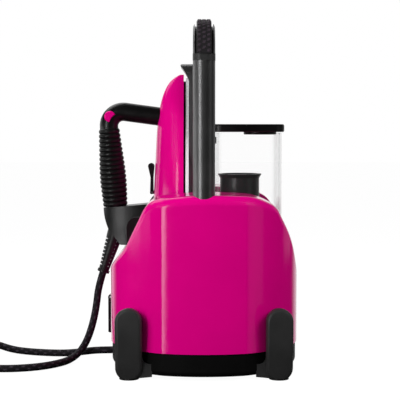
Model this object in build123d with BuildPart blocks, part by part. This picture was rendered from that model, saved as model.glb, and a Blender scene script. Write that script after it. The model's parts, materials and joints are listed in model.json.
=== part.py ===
from build123d import *
import os
from math import cos, pi, radians, sin, sqrt, tan

os.makedirs("parts", exist_ok=True)

# Ironing station: steam generator base, carrying handle, clear water tank, docked iron, steam hose.
# Millimetres. X runs from the iron's side to the tank's side, Y from front to rear, Z up from the floor.

# Casing, a tower with straight sides, round flanks and a flatter arc across each end, which meet in a
# soft crease. Its top follows one skyline. Both are given from the casing's centre line
body_x = 9.0
plan_half_width = 108.0
plan_half_length = 144.8
plan_side = 42.6
plan_crease = (46.0, 138.1)
plan_crease_r = 15.0
plan_crease_lean = radians(23)
casing_bottom = 31.0
casing_crest = 205.0
casing_wall = 3.0
casing_roof = 6.0
casing_edge_r = 11.0
skyline = [
    (-130, 88.5),
    (-88, 143),
    (-61, 198.5),
    (-4, 204.5),
    (56, 202),
    (80, 190.5),
    (99.5, 152),
    (116, 70.5),
]
skyline_radii = [60, 26, 300, 60, 22, 120]

# Recesses in the casing's top: the iron's dock and the tank's well
dock_half = 60.0
dock_floor = 118.0
dock_left = -86.0
dock_back = 2.0
well_half = 64.0
well_floor = 146.0
well_back = 20.0
liner_gap = 0.15
liner_wall = 2.6
liner_floor = 2.9

# Base pan
pan_inset = 1.5
pan_wall = 4.0
pan_bottom = 5.0
pan_floor = 2.5
pan_edge_r = 7.0

# Corner bumpers and their rubber soles
bumper_offset = 82.8
bumper_width = 29.6
bumper_bottom = 1.5
bumper_round_bottom = 0.5
bumper_top = 81.0
bumper_face = 141.0
bumper_depth = 50.0
# How far a bumper falls towards its back, in degrees
bumper_fall = 7.0
bumper_edge_r = 4.0
bumper_crown_r = 240.0
bumper_crown_z = 66.0
bumper_front_band = 26.0
bumper_back_r = 3.0
bumper_gap = 0.4
bumper_end_r = bumper_width / 2 - 0.3
arm_width = 26.0
arm_front = 130.0
arm_bottom = 1.5
arm_rise = 3.6
arm_top = 18.0
arm_blend = 7.0
arm_root = 12.0
arm_depth = 60.0
sole_r = 11.0
sole_y = 121.0

# Carrying handle
handle_width = 24.3
handle_depth = 24.0
handle_half_length = 142.0
handle_top = 394.4
handle_corner_r = 39.5
handle_round = 8.5
post_round = 11.4
handle_foot = 161.0
socket_wall = 3.0
socket_gap = 0.1
inlay_width = 16.3
inlay_proud = 1.5
inlay_depth = 6.0
inlay_edge_r = 2.5
groove_width = 20.4
collar_bottom = 349.6
collar_top = 356.9
collar_proud = 0.2
collar_round = 9.5

# Rest plate and cradle for the iron
rest_face = -8.2
rest_back = -1.0
rest_top = 351.3
rest_half = 38.0
rest_lip = 12.2
rest_flare = 19.6
# Where the lip's curve passes, as shares of its reach and of its height
rest_curve = (0.34, 0.54)
rest_corner_r = 14.0
rest_tip_r = 1.8
rest_gap = 0.35
cradle_top = 137.7
cradle_front = -80.0
cheek_inner = 49.0
cheek_outer = 54.0
cheek_top = 174.0
cheek_length = 27.0
cheek_radii = [12, 5]

# Iron, docked tip up with its sole towards the rest plate
sole_face = -8.6
sole_plate = 3.6
shield_plate = 2.4
shell_seat = sole_face - sole_plate - shield_plate
sole_heel = 140.0
sole_tip = 339.5
shield_tip = 335.5
sole_half = 52.0
sole_widest = 45.0
sole_shoulder = (0.72, 118.0)
sole_corner = 4.0
shell_bottom = 145.0
shell_wall = 2.5
shell_tip = 340.6
shell_crown = 38.4
shell_lean = 0.046
shell_crown_turn = 231.0
shell_half = 51.0
shell_widest = 190.0
shell_tuck = 5.0
shell_steps = 13
shell_step = 15.0
heel_bottom = 138.0
heel_half = 17.0
heel_outline = [(-110.6, 181.7), (-57.8, 186.6), (-30, 187.2), (-30, 138), (-90, 138), (-104.6, 156.4)]
# Where the arc of the heel's back passes, between the outline's last point and its first
heel_back = (-109.2, 170.0)
heel_round_x = -57.0
heel_round_reach = 55.0
bar_r = 11.0
bar_root = (-40.0, 289.8)
handle_corner = (-105.6, 298.7)
handle_bend_r = 17.0
grip_top = (-103.8, 275.6)
grip_bottom = (-96.6, 183.6)
core_r = 9.0
core_below_grip = 10.0
grip_ribs = 17
rib_height = 1.3
# Share of the grip's length from its top, radius over the ribs
grip_radii = [(0.0, 12.4), (0.33, 14.4), (0.52, 15.6), (0.68, 15.9), (0.82, 15.4), (1.0, 14.5)]
button_place = (-102.2, 290.2)
button_r = 6.75
button_edge_r = 1.6
# The button is cut by the handle's inner bend, a circle placed from the button's middle
button_cut = (13.6, -10.2)
button_cut_r = 14.3
button_face = 11.4
button_root = 5.2
button_bore_floor = 3.2
slide_gap = 0.05
trigger_pivot = (-53.0, 200.0)
trigger_pin_r = 1.25
trigger_half = 4.6
trigger_eye_r = 2.2
trigger_tip = 235.0
trigger_ball_r = 3.8
trigger_ball_back = 0.6
trigger_neck = 218.0
# The lever's front and back from the pivot's line, at its foot and at its neck
trigger_foot_sides = (-2.0, 2.0)
trigger_neck_sides = (-1.4, 2.0)
trigger_lug_r = 2.0
trigger_lug_reach = 6.0
trigger_lug_half = 1.6
trigger_slot_half = 2.0
trigger_slot_top = 3.4
relief_root = (-96.2, 152.7)
relief_end = (-111.8, 104.2)
relief_root_r = 10.0
relief_end_r = 6.1
relief_flange_r = 7.2
relief_flange = 3.0
relief_slots = 8
relief_slot_start = 10.0
relief_slot_pitch = 4.5
relief_slot = 1.9
relief_slot_depth = 2.4
# How far a slot reaches from the relief's left side, and where a small hole goes through, in radii
relief_slot_edge = 0.38
relief_hole_place = 0.55
relief_hole_r = 0.8

# Water tank
tank_left = 23.5
tank_right = 99.0
tank_half = 60.0
tank_bottom = 149.5
tank_top = 271.3
tank_wall = 2.0
tank_corner_r = 14.0
lid_left = 16.0
lid_right = 101.8
lid_half = 62.0
lid_bottom = 272.2
lid_top = 281.2
hinge_x = 19.0
hinge_z = 274.8
hinge_pin_r = 1.5
hinge_pin_half = 50.0
lug_place = 40.0
lug_width = 8.0
lug_reach = 2.4
lug_drop = 16.0
bracket_plate = 2.5
bracket_height = 7.2
bracket_below = 12.4
lid_edge_r = 2.0
lid_rim_r = 1.5
tank_edge_r = 4.0
plug_x = 76.2
plug_r = 19.5
plug_depth = 3.2
filter_x = 52.0
filter_r = 23.4
filter_flange_r = 25.8
filter_bottom = 152.2
filter_top = 222.4
valve_x = 86.0
valve_r = 6.0
valve_stem = 12.0
valve_rim = 3.0
coupling_r = 10.0
coupling_bottom = 128.0

# Clip on the casing's iron side
clip_y = 16.0
clip_half = 6.0
clip_pin_x = -104.2
clip_pin_z = 72.2
clip_pin_r = 1.6
clip_eye_r = 2.7
clip_end = 29.0
clip_pad_x = -100.6
clip_pad_root = -90.0
clip_pad_half = 12.0
clip_pad_above = 8.0
clip_plate = 5.0
clip_plate_r = 1.5
clip_lug_root = -99.0
clip_pin_wall = 0.5
clip_lug_half = 2.4
clip_slot_half = 2.8
clip_slot_drop = 4.2

# Works inside the base
boiler_x = -25.0
boiler_z = 70.0
boiler_r = 42.0
boiler_half = 75.0
boiler_wall = 2.0
pump_x = 66.0
pump_z = 34.0
pump_r = 17.0
pipe_r = 3.5

# Rear end: rocker switch and mains lead gland
switch_z = 96.0
switch_width = 20.0
switch_height = 28.0
switch_pivot_y = 134.0
switch_tilt = 7.0
switch_gap = 0.6
switch_pocket = 4.0
# The rocker's back, crests and middle, from its pivot
switch_back = -3.0
switch_crest = 8.0
switch_dip = 6.6
switch_back_share = 0.8
mains_x = 36.0
mains_y = 126.0
mains_z = 18.0
mains_length = 18.0
mains_bore_r = 3.6
mains_r = 7.0

# Steam hose, one length from the iron back to the base, its spare length wound into a coil
hose_d = 8.6
hose_r = hose_d / 2
hose_gland_x = -96.0
hose_gland_y = -8.0
hose_gland_z = 11.0
hose_gland_r = 6.5
hose_gland_length = 14.0
hose_gland_proud = 4.0
hose_gland_edge_r = 1.2
coil_x = -302.0
coil_y = -20.0
coil_r = 57.0
coil_pitch = 9.2
coil_layer = 9.1
coil_z = 5.3
coil_turns = 2
tie_wall = 0.8
tie_width = 12.0
tie_corner_r = 3.0
tie_gap = 0.4


def write_part(piece, name):
    """Label one finished piece and write it as its own file."""
    piece.part.label = name
    export_step(piece.part, f"parts/{name}.step")


def box_between(low, high, mode=Mode.ADD):
    """A box given by its two opposite corners."""
    size = [b - a for a, b in zip(low, high)]
    middle = [(a + b) / 2 for a, b in zip(low, high)]
    with Locations(tuple(middle)):
        Box(*size, mode=mode)


def axis_plane(start, end):
    """A plane at one XZ point, looking along the line to another XZ point."""
    run = Vector(end[0] - start[0], 0, end[1] - start[1])
    return Plane(origin=(start[0], 0, start[1]), x_dir=(0, 1, 0), z_dir=run.normalized())


def distance(start, end):
    return sqrt(sum((b - a) ** 2 for a, b in zip(start, end)))


def plan_prism(inset, bottom, top):
    """The casing's plan as an upright block, its sides moved inwards."""
    half_width = plan_half_width - inset
    half_length = plan_half_length - inset
    crease_x = plan_crease[0] - inset * sin(plan_crease_lean)
    crease_y = plan_crease[1] - inset * cos(plan_crease_lean)
    with BuildPart() as prism:
        with BuildSketch(Plane.XY.offset(bottom)) as plan:
            with BuildLine():
                for side in (-1, 1):
                    side_x = body_x + side * half_width
                    Line((side_x, -plan_side), (side_x, plan_side))
                    for end in (-1, 1):
                        TangentArc(
                            (side_x, end * plan_side),
                            (body_x + side * crease_x, end * crease_y),
                            tangent=(0, end),
                        )
                for end in (-1, 1):
                    ThreePointArc(
                        (body_x - crease_x, end * crease_y),
                        (body_x, end * half_length),
                        (body_x + crease_x, end * crease_y),
                    )
            make_face()
            fillet(plan.vertices().filter_by(lambda v: abs(v.Y) > plan_side + 1), plan_crease_r - inset)
        extrude(amount=top - bottom)
    return prism.part


def casing_form(wall, roof):
    """The casing's outside as a solid, or its inside under a wall and a thicker roof."""
    with BuildPart() as form:
        add(plan_prism(wall, casing_bottom, casing_bottom + casing_crest))
        with BuildSketch(Plane.XZ):
            with BuildLine():
                top = FilletPolyline(*[(body_x + x, z) for x, z in skyline], radius=skyline_radii)
                Polyline(top @ 1, (body_x + skyline[-1][0], 0), (body_x + skyline[0][0], 0), top @ 0)
            make_face()
            if roof:
                offset(amount=-roof)
        extrude(amount=2 * plan_half_length, both=True, mode=Mode.INTERSECT)
        if not roof:
            rim = form.edges().filter_by(GeomType.LINE, reverse=True)
            fillet(rim.filter_by_position(Axis.Z, casing_bottom + 1, casing_crest + 1), casing_edge_r)
    return form.part


casing_outer = casing_form(0, 0)
casing_inner = casing_form(casing_wall, casing_roof)
far = 2 * plan_half_width
sky = casing_crest + 10


# Casing halves, split at the middle of the length, each with a socket for one handle post
def casing_half(side):
    """side is -1 for the front half and 1 for the rear half."""
    post_y = side * (handle_half_length - handle_depth / 2)
    with BuildPart() as socket:
        with BuildSketch(Plane.XY.offset(handle_foot - socket_wall)):
            with Locations((body_x, post_y)):
                RectangleRounded(
                    handle_width + 2 * socket_wall, handle_depth + 2 * socket_wall, post_round + socket_wall
                )
        extrude(amount=sky - handle_foot)
        add(casing_outer, mode=Mode.INTERSECT)
    with BuildPart() as half:
        add(casing_outer)
        add(casing_inner, mode=Mode.SUBTRACT)
        add(socket.part)
        with BuildSketch(Plane.XY.offset(handle_foot)):
            with Locations((body_x, post_y)):
                RectangleRounded(
                    handle_width + 2 * socket_gap, handle_depth + 2 * socket_gap, post_round + socket_gap
                )
        extrude(amount=sky - handle_foot, mode=Mode.SUBTRACT)
        box_between((dock_left, -dock_half, dock_floor), (dock_back, dock_half, sky), Mode.SUBTRACT)
        box_between((well_back, -well_half, well_floor), (far, well_half, sky), Mode.SUBTRACT)
        box_between((-far, min(0, -side * far), 0), (far, max(0, -side * far), sky), Mode.SUBTRACT)
        if side > 0:
            box_between(
                (body_x - switch_width / 2, switch_pivot_y - switch_pocket, switch_z - switch_height / 2),
                (body_x + switch_width / 2, plan_half_length + 5, switch_z + switch_height / 2),
                Mode.SUBTRACT,
            )
    return half


casing_front = casing_half(-1)
write_part(casing_front, "casing_front")
casing_rear = casing_half(1)
write_part(casing_rear, "casing_rear")


# Liners of the two recesses: the dock's ends at the casing's outer skin, the well's at the inner one
with BuildPart() as iron_dock:
    edge = dock_half - liner_gap
    box_between((dock_left + liner_gap, -edge, dock_floor + liner_gap), (dock_back - liner_gap, edge, sky))
    inner = dock_half - liner_wall
    floor_z = dock_floor + liner_floor
    box_between(
        (dock_left + liner_wall, -inner, floor_z), (dock_back - liner_wall, inner, sky + 1), Mode.SUBTRACT
    )
    add(casing_outer, mode=Mode.INTERSECT)
write_part(iron_dock, "iron_dock")

with BuildPart() as tank_tray:
    edge = well_half - liner_gap
    box_between((well_back + liner_gap, -edge, well_floor + liner_gap), (far, edge, sky))
    inner = well_half - liner_wall
    floor_z = well_floor + liner_floor
    box_between((well_back + liner_wall, -inner, floor_z), (far, inner, sky + 1), Mode.SUBTRACT)
    add(casing_inner, mode=Mode.INTERSECT)
    with Locations((valve_x, 0, well_floor)):
        Cylinder(valve_r + 1, 20, mode=Mode.SUBTRACT)
write_part(tank_tray, "tank_tray")


# Base pan: an open tray with holes for the two glands, the drain plug and the screws
drain_r = 10.0
drain_place = (60.0, -60.0)
screw_places = [(-60.0, -70.0), (-60.0, 70.0), (78.0, -70.0), (78.0, 70.0), (9.0, -122.0), (9.0, 122.0)]
screw_head_r = 3.5
screw_head = 1.8
screw_shank_r = 1.6
screw_shank = 14.0
drain_length = 11.0
drain_proud = 2.4
drain_slot = (15.0, 2.2, 3.0)
pan_outer = plan_prism(pan_inset, pan_bottom, casing_bottom)
pan_inner = plan_prism(pan_inset + pan_wall, pan_bottom + pan_floor, 2 * casing_bottom)

with BuildPart() as base_pan:
    add(pan_outer)
    fillet(base_pan.faces().sort_by(Axis.Z)[0].edges(), pan_edge_r)
    add(pan_inner, mode=Mode.SUBTRACT)
    with Locations(Plane(origin=(hose_gland_x, hose_gland_y, hose_gland_z), z_dir=(1, 0, 0))):
        Cylinder(hose_gland_r, 2 * hose_gland_length, mode=Mode.SUBTRACT)
    with Locations(Plane(origin=(mains_x, mains_y, mains_z), z_dir=(0, 1, 0))):
        Cylinder(mains_r, 3 * mains_length, mode=Mode.SUBTRACT)
    with Locations((*drain_place, pan_bottom)):
        Cylinder(drain_r + slide_gap, casing_bottom, mode=Mode.SUBTRACT)
    with Locations([(x, y, pan_bottom) for x, y in screw_places]):
        Cylinder(screw_shank_r, casing_bottom, mode=Mode.SUBTRACT)
write_part(base_pan, "base_pan")

with BuildPart() as base_screws:
    with Locations([(x, y, pan_bottom) for x, y in screw_places]):
        Cylinder(screw_head_r, screw_head, align=(Align.CENTER, Align.CENTER, Align.MAX))
        Cylinder(screw_shank_r, screw_shank, align=(Align.CENTER, Align.CENTER, Align.MIN))
write_part(base_screws, "base_screws")

with BuildPart() as drain_plug:
    with Locations((*drain_place, pan_bottom - drain_proud)):
        Cylinder(drain_r, drain_length, align=(Align.CENTER, Align.CENTER, Align.MIN))
        Box(*drain_slot, mode=Mode.SUBTRACT)
write_part(drain_plug, "drain_plug")


# Corner bumpers: pill-shaped faces cut to the casing behind them, each with an arm to the pan
bumper_keepout = plan_prism(-bumper_gap, casing_bottom - bumper_gap, casing_crest)


def bumper(side, end):
    """side is -1 for the iron's side and 1 for the tank's; end is -1 for the front and 1 for the rear."""
    centre_x = body_x + side * bumper_offset
    with BuildPart() as block:
        face = Plane(origin=(centre_x, -bumper_face, 0), x_dir=(1, 0, 0), z_dir=(0, -1, 0))
        with BuildSketch(face):
            with Locations((0, (bumper_round_bottom + bumper_top) / 2)):
                RectangleRounded(bumper_width, bumper_top - bumper_round_bottom, bumper_end_r)
        extrude(amount=bumper_depth, dir=(0, cos(radians(bumper_fall)), -sin(radians(bumper_fall))))
        with BuildSketch(Plane.YZ.offset(centre_x)):
            with Locations((bumper_crown_r - bumper_face, bumper_crown_z)):
                Circle(bumper_crown_r)
        extrude(amount=bumper_width, both=True, mode=Mode.INTERSECT)
        front_edge = bumper_front_band - bumper_face
        fillet(block.edges().filter_by(lambda e: e.bounding_box().max.Y < front_edge), bumper_edge_r)
        fillet(block.faces().sort_by(Axis.Y)[-1].edges(), bumper_back_r)
        root_x = centre_x - side * bumper_width / 2
        reach_x = root_x - side * arm_width
        blend_x = root_x - side * arm_blend
        blend_z = arm_top + arm_blend
        blend_mid = arm_blend * sqrt(0.5)
        inside_x = root_x + side * arm_root
        with BuildSketch(Plane.XZ.offset(arm_front)):
            with BuildLine():
                Polyline(
                    (blend_x, arm_top),
                    (reach_x, arm_top),
                    (reach_x, arm_bottom + arm_rise),
                    (inside_x, arm_bottom),
                    (inside_x, blend_z),
                    (root_x, blend_z),
                )
                ThreePointArc(
                    (root_x, blend_z), (blend_x + side * blend_mid, blend_z - blend_mid), (blend_x, arm_top)
                )
            make_face()
        extrude(amount=-arm_depth)
        box_between((-far, -far, -bumper_top), (far, far, bumper_bottom), Mode.SUBTRACT)
        add(bumper_keepout, mode=Mode.SUBTRACT)
        add(base_pan.part, mode=Mode.SUBTRACT)
        add(plan_prism(pan_inset + 0.5, 0, casing_bottom), mode=Mode.SUBTRACT)
        if end > 0:
            mirror(about=Plane.XZ, mode=Mode.REPLACE)
    return block


for end, end_name in ((-1, "front"), (1, "rear")):
    for side, side_name in ((-1, "left"), (1, "right")):
        write_part(bumper(side, end), f"bumper_{end_name}_{side_name}")

with BuildPart() as rubber_feet:
    with Locations([(body_x + side * bumper_offset, end * sole_y) for side in (-1, 1) for end in (-1, 1)]):
        Cylinder(sole_r, bumper_bottom, align=(Align.CENTER, Align.CENTER, Align.MIN))
write_part(rubber_feet, "rubber_feet")


# Carrying handle: one bow with a groove along its outside for the soft inlay
def bow_band(outside, inside, half_width):
    """A band that follows the bow, between two outlines moved outwards from the bow's outside."""
    with BuildPart() as band:
        for grow, mode in ((outside, Mode.ADD), (inside, Mode.SUBTRACT)):
            half = handle_half_length + grow
            top = handle_top + grow
            with BuildSketch(Plane.YZ.offset(body_x)):
                with BuildLine():
                    arch = FilletPolyline(
                        (-half, handle_foot),
                        (-half, top),
                        (half, top),
                        (half, handle_foot),
                        radius=handle_corner_r + grow,
                    )
                    Line(arch @ 0, arch @ 1)
                make_face()
            extrude(amount=half_width, both=True, mode=mode)
    return band.part


inlay_band = bow_band(inlay_proud, -inlay_depth, inlay_width / 2)

with BuildPart() as grip_inlay:
    add(inlay_band)
    box_between((-far, -far, 0), (far, far, collar_top), Mode.SUBTRACT)
    outside = grip_inlay.edges().filter_by(Plane.YZ).filter_by_position(Axis.Z, collar_top + 1, 500)
    fillet(outside.filter_by(lambda e: e.bounding_box().max.Z > handle_top), inlay_edge_r)
write_part(grip_inlay, "grip_inlay")

with BuildPart() as handle_bow:
    add(bow_band(0, -handle_depth, handle_width / 2))
    fillet(handle_bow.edges().filter_by(Plane.YZ).filter_by(Axis.Y, reverse=True), handle_round)
    add(bow_band(inlay_depth, -inlay_depth, groove_width / 2), mode=Mode.SUBTRACT)
    box_between((-far, -far, 0), (far, far, collar_top), Mode.SUBTRACT)
    with BuildSketch(Plane.XY.offset(handle_foot)):
        with Locations([(body_x, side * (handle_half_length - handle_depth / 2)) for side in (-1, 1)]):
            RectangleRounded(handle_width, handle_depth, post_round)
    extrude(amount=collar_top - handle_foot)
write_part(handle_bow, "handle_bow")


def post_collar(side):
    """Ring around one post under the inlay's end."""
    post_y = side * (handle_half_length - handle_depth / 2)
    with BuildPart() as ring:
        with BuildSketch(Plane.XY.offset(collar_bottom)):
            with Locations((body_x, post_y)):
                RectangleRounded(
                    handle_width + 2 * collar_proud,
                    handle_depth + 2 * collar_proud,
                    collar_round,
                )
        extrude(amount=collar_top - collar_bottom)
        add(handle_bow.part, mode=Mode.SUBTRACT)
    return ring


write_part(post_collar(-1), "post_collar_front")
write_part(post_collar(1), "post_collar_rear")


# Rest plate with its flared lip, and the cradle that the iron's heel stands in
def rest_block(grow):
    """The rest plate's side view, grown outwards, right across the rest."""
    floor_z = dock_floor + liner_floor
    with BuildPart() as block:
        with BuildSketch(Plane.XZ):
            with BuildLine():
                Polyline(
                    (rest_face, rest_top - rest_flare),
                    (rest_face, floor_z),
                    (rest_back, floor_z),
                    (rest_back, rest_top),
                    (rest_face - rest_lip, rest_top),
                )
                ThreePointArc(
                    (rest_face - rest_lip, rest_top),
                    (rest_face - rest_lip * rest_curve[0], rest_top - rest_flare * rest_curve[1]),
                    (rest_face, rest_top - rest_flare),
                )
            make_face()
            fillet(vertices().sort_by(Axis.X)[:1], rest_tip_r)
            if grow:
                offset(amount=grow)
        extrude(amount=rest_half, both=True)
    return block.part


with BuildPart() as iron_rest:
    floor_z = dock_floor + liner_floor
    add(rest_block(0))
    with BuildSketch(Plane.YZ.offset(rest_back)):
        with BuildLine():
            arch = FilletPolyline(
                (-rest_half, floor_z),
                (-rest_half, rest_top),
                (rest_half, rest_top),
                (rest_half, floor_z),
                radius=rest_corner_r,
            )
            Line(arch @ 1, arch @ 0)
        make_face()
    extrude(amount=4 * rest_lip, both=True, mode=Mode.INTERSECT)
write_part(iron_rest, "iron_rest")

with BuildPart() as iron_cradle:
    floor_z = dock_floor + liner_floor
    box_between((cradle_front, -cheek_outer, floor_z), (rest_face - 1, cheek_outer, cradle_top))
    for side in (-1, 1):
        with BuildSketch(Plane.XZ.offset(-side * (cheek_inner + cheek_outer) / 2)):
            with BuildLine():
                FilletPolyline(
                    (cradle_front, floor_z),
                    (cradle_front, cheek_top),
                    (cradle_front + cheek_length, cheek_top),
                    (cradle_front + cheek_length, floor_z),
                    radius=cheek_radii,
                )
                Line((cradle_front + cheek_length, floor_z), (cradle_front, floor_z))
            make_face()
        extrude(amount=(cheek_outer - cheek_inner) / 2, both=True)
write_part(iron_cradle, "iron_cradle")


# Clip on the casing's side: bracket, hollow pin and hanging clip
with BuildPart() as clip_bracket:
    box_between(
        (clip_pad_x, clip_y - clip_pad_half, clip_end + 1),
        (clip_pad_root, clip_y + clip_pad_half, clip_pin_z + clip_pad_above),
    )
    with BuildSketch(Plane.XZ.offset(-clip_y)):
        with Locations((clip_pin_x, clip_pin_z)):
            Circle(clip_eye_r)
        with Locations(((clip_pin_x + clip_lug_root) / 2, clip_pin_z)):
            Rectangle(clip_lug_root - clip_pin_x, 2 * clip_eye_r)
    extrude(amount=clip_lug_half, both=True)
    add(plan_prism(0, 0, casing_crest), mode=Mode.SUBTRACT)
    with Locations(Plane(origin=(clip_pin_x, clip_y, clip_pin_z), z_dir=(0, 1, 0))):
        Cylinder(clip_pin_r, 4 * clip_half, mode=Mode.SUBTRACT)
write_part(clip_bracket, "clip_bracket")

with BuildPart() as clip_pin:
    with Locations(Plane(origin=(clip_pin_x, clip_y, clip_pin_z), z_dir=(0, 1, 0))):
        Cylinder(clip_pin_r, 2 * clip_half)
        Cylinder(clip_pin_r - clip_pin_wall, 2 * clip_half, mode=Mode.SUBTRACT)
write_part(clip_pin, "clip_pin")

with BuildPart() as hose_clip:
    with BuildSketch(Plane.XZ.offset(-clip_y)):
        with Locations((clip_pin_x, clip_pin_z)):
            Circle(clip_eye_r)
        with BuildLine():
            FilletPolyline(
                (clip_pin_x - clip_plate / 2, clip_pin_z),
                (clip_pin_x - clip_plate / 2, clip_end),
                (clip_pin_x + clip_plate / 2, clip_end),
                (clip_pin_x + clip_plate / 2, clip_pin_z),
                radius=clip_plate_r,
            )
            Line((clip_pin_x + clip_plate / 2, clip_pin_z), (clip_pin_x - clip_plate / 2, clip_pin_z))
        make_face()
    extrude(amount=clip_half, both=True)
    box_between(
        (clip_pin_x - 2 * clip_eye_r, clip_y - clip_slot_half, clip_pin_z - clip_slot_drop),
        (clip_pin_x + 2 * clip_eye_r, clip_y + clip_slot_half, clip_pin_z + 2 * clip_eye_r),
        Mode.SUBTRACT,
    )
    with Locations(Plane(origin=(clip_pin_x, clip_y, clip_pin_z), z_dir=(0, 1, 0))):
        Cylinder(clip_pin_r + slide_gap, 4 * clip_half, mode=Mode.SUBTRACT)
write_part(hose_clip, "hose_clip")


# Rocker switch in the rear wall, resting tilted with its top in
with BuildPart() as power_switch:
    reach = switch_height / 2 - 2 * switch_gap
    back_reach = reach * switch_back_share
    with BuildSketch(Plane.YZ.offset(body_x)):
        with BuildLine():
            Polyline(
                (switch_pivot_y + switch_back, switch_z - back_reach),
                (switch_pivot_y + switch_crest, switch_z - reach),
                (switch_pivot_y + switch_dip, switch_z),
                (switch_pivot_y + switch_crest, switch_z + reach),
                (switch_pivot_y + switch_back, switch_z + back_reach),
                close=True,
            )
        make_face()
    extrude(amount=switch_width / 2 - switch_gap, both=True)
power_switch.part = power_switch.part.rotate(Axis((body_x, switch_pivot_y, switch_z), (1, 0, 0)), switch_tilt)
write_part(power_switch, "power_switch")


# Glands through the pan's wall
with BuildPart() as mains_gland:
    with Locations(Plane(origin=(mains_x, mains_y, mains_z), z_dir=(0, 1, 0))):
        Cylinder(mains_r, mains_length, align=(Align.CENTER, Align.CENTER, Align.MIN))
        Cylinder(mains_bore_r, 3 * mains_length, mode=Mode.SUBTRACT)
write_part(mains_gland, "mains_gland")

with BuildPart() as hose_gland:
    gland_face = Plane(origin=(hose_gland_x - hose_gland_proud, hose_gland_y, hose_gland_z), z_dir=(1, 0, 0))
    with Locations(gland_face):
        Cylinder(hose_gland_r, hose_gland_length, align=(Align.CENTER, Align.CENTER, Align.MIN))
    fillet(hose_gland.faces().sort_by(Axis.X)[0].edges(), hose_gland_edge_r)
write_part(hose_gland, "hose_gland")


# Works inside the base: boiler with its heater, pump, valves, board and pipes
port_r = 15.0
flange_r = 20.0
flange_plate = 5.0
rod_r = 4.0
rod_half_gap = 9.0
rod_bend_r = 8.9
rod_end_gap = 20.0
boiler_edge_r = 8.0
saddle_place = 45.0
saddle_half = (30.0, 6.0)
saddle_below_axis = 10.0
valve_body_r = 7.0
valve_body = 10.0
valve_hexagon_r = 9.0
valve_hexagon = 7.0
solenoid_low = (18.0, 26.0, 72.0)
solenoid_high = (44.0, 54.0, 112.0)
solenoid_edge_r = 4.0
solenoid_port_r = 5.0
pump_y = -8.0
pump_length = 64.0
pump_ends = 84.0
pump_foot_half = 14.0
pump_foot = (-30.0, 14.0)
board_low = (-41.0, -118.0, 60.0)
board_high = (59.0, -116.4, 120.0)
# Blocks on the board: place along X, height off the board
board_blocks = [(-21.0, 14.0), (3.0, 8.0), (29.0, 18.0)]
block_width = 15.0
block_bottom = 74.0
block_top = 100.0
pipe_bend_r = 9.0

with BuildPart() as boiler:
    with Locations(Plane(origin=(boiler_x, 0, boiler_z), z_dir=(0, 1, 0))):
        Cylinder(boiler_r, 2 * boiler_half)
    fillet(boiler.edges().filter_by(GeomType.CIRCLE), boiler_edge_r)
    offset(amount=-boiler_wall, mode=Mode.SUBTRACT)
    with Locations(Plane(origin=(boiler_x, -boiler_half, boiler_z), z_dir=(0, 1, 0))):
        Cylinder(port_r, 4 * boiler_wall, mode=Mode.SUBTRACT)
write_part(boiler, "boiler")

with BuildPart() as boiler_heater:
    with Locations(Plane(origin=(boiler_x, -boiler_half, boiler_z), z_dir=(0, -1, 0))):
        Cylinder(flange_r, flange_plate, align=(Align.CENTER, Align.CENTER, Align.MIN))
    with BuildLine(Plane.XY.offset(boiler_z)):
        rod_start = -boiler_half - flange_plate / 2
        rod_end = boiler_half - rod_end_gap
        bend = FilletPolyline(
            (boiler_x - rod_half_gap, rod_start),
            (boiler_x - rod_half_gap, rod_end),
            (boiler_x + rod_half_gap, rod_end),
            (boiler_x + rod_half_gap, rod_start),
            radius=rod_bend_r,
        )
    with BuildSketch(Plane(origin=bend @ 0, z_dir=bend % 0)):
        Circle(rod_r)
    sweep()
write_part(boiler_heater, "boiler_heater")

with BuildPart() as boiler_saddles:
    for y in (-saddle_place, saddle_place):
        box_between(
            (boiler_x - saddle_half[0], y - saddle_half[1], pan_bottom + pan_floor),
            (boiler_x + saddle_half[0], y + saddle_half[1], boiler_z - saddle_below_axis),
        )
    with Locations(Plane(origin=(boiler_x, 0, boiler_z), z_dir=(0, 1, 0))):
        Cylinder(boiler_r, 4 * boiler_half, mode=Mode.SUBTRACT)
write_part(boiler_saddles, "boiler_saddles")

with BuildPart() as safety_valve:
    with Locations(Plane(origin=(boiler_x, boiler_half, boiler_z), z_dir=(0, 1, 0))):
        Cylinder(valve_body_r, valve_body, align=(Align.CENTER, Align.CENTER, Align.MIN))
    with BuildSketch(Plane(origin=(boiler_x, boiler_half + valve_body, boiler_z), z_dir=(0, 1, 0))):
        RegularPolygon(valve_hexagon_r, 6)
    extrude(amount=valve_hexagon)
write_part(safety_valve, "safety_valve")

with BuildPart() as solenoid_valve:
    box_between(solenoid_low, solenoid_high)
    fillet(solenoid_valve.edges().filter_by(Axis.Z), solenoid_edge_r)
    port_y = (solenoid_low[1] + solenoid_high[1]) / 2
    with Locations(Plane(origin=(solenoid_low[0], port_y, boiler_z + 8), z_dir=(1, 0, 0))):
        Cylinder(solenoid_port_r, 10)
    with Locations(Plane(origin=(boiler_x, 0, boiler_z), z_dir=(0, 1, 0))):
        Cylinder(boiler_r, 4 * boiler_half, mode=Mode.SUBTRACT)
write_part(solenoid_valve, "solenoid_valve")

with BuildPart() as pump:
    with Locations(Plane(origin=(pump_x, pump_y, pump_z), z_dir=(0, 1, 0))):
        Cylinder(pump_r, pump_length)
        Cylinder(pipe_r + 1.5, pump_ends)
    box_between(
        (pump_x - pump_foot_half, pump_foot[0], pan_bottom + pan_floor),
        (pump_x + pump_foot_half, pump_foot[1], pump_z),
    )
write_part(pump, "pump")

with BuildPart() as control_board:
    box_between(board_low, board_high)
    for x, height in board_blocks:
        box_between((x, board_high[1], block_bottom), (x + block_width, board_high[1] + height, block_top))
write_part(control_board, "control_board")


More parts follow.
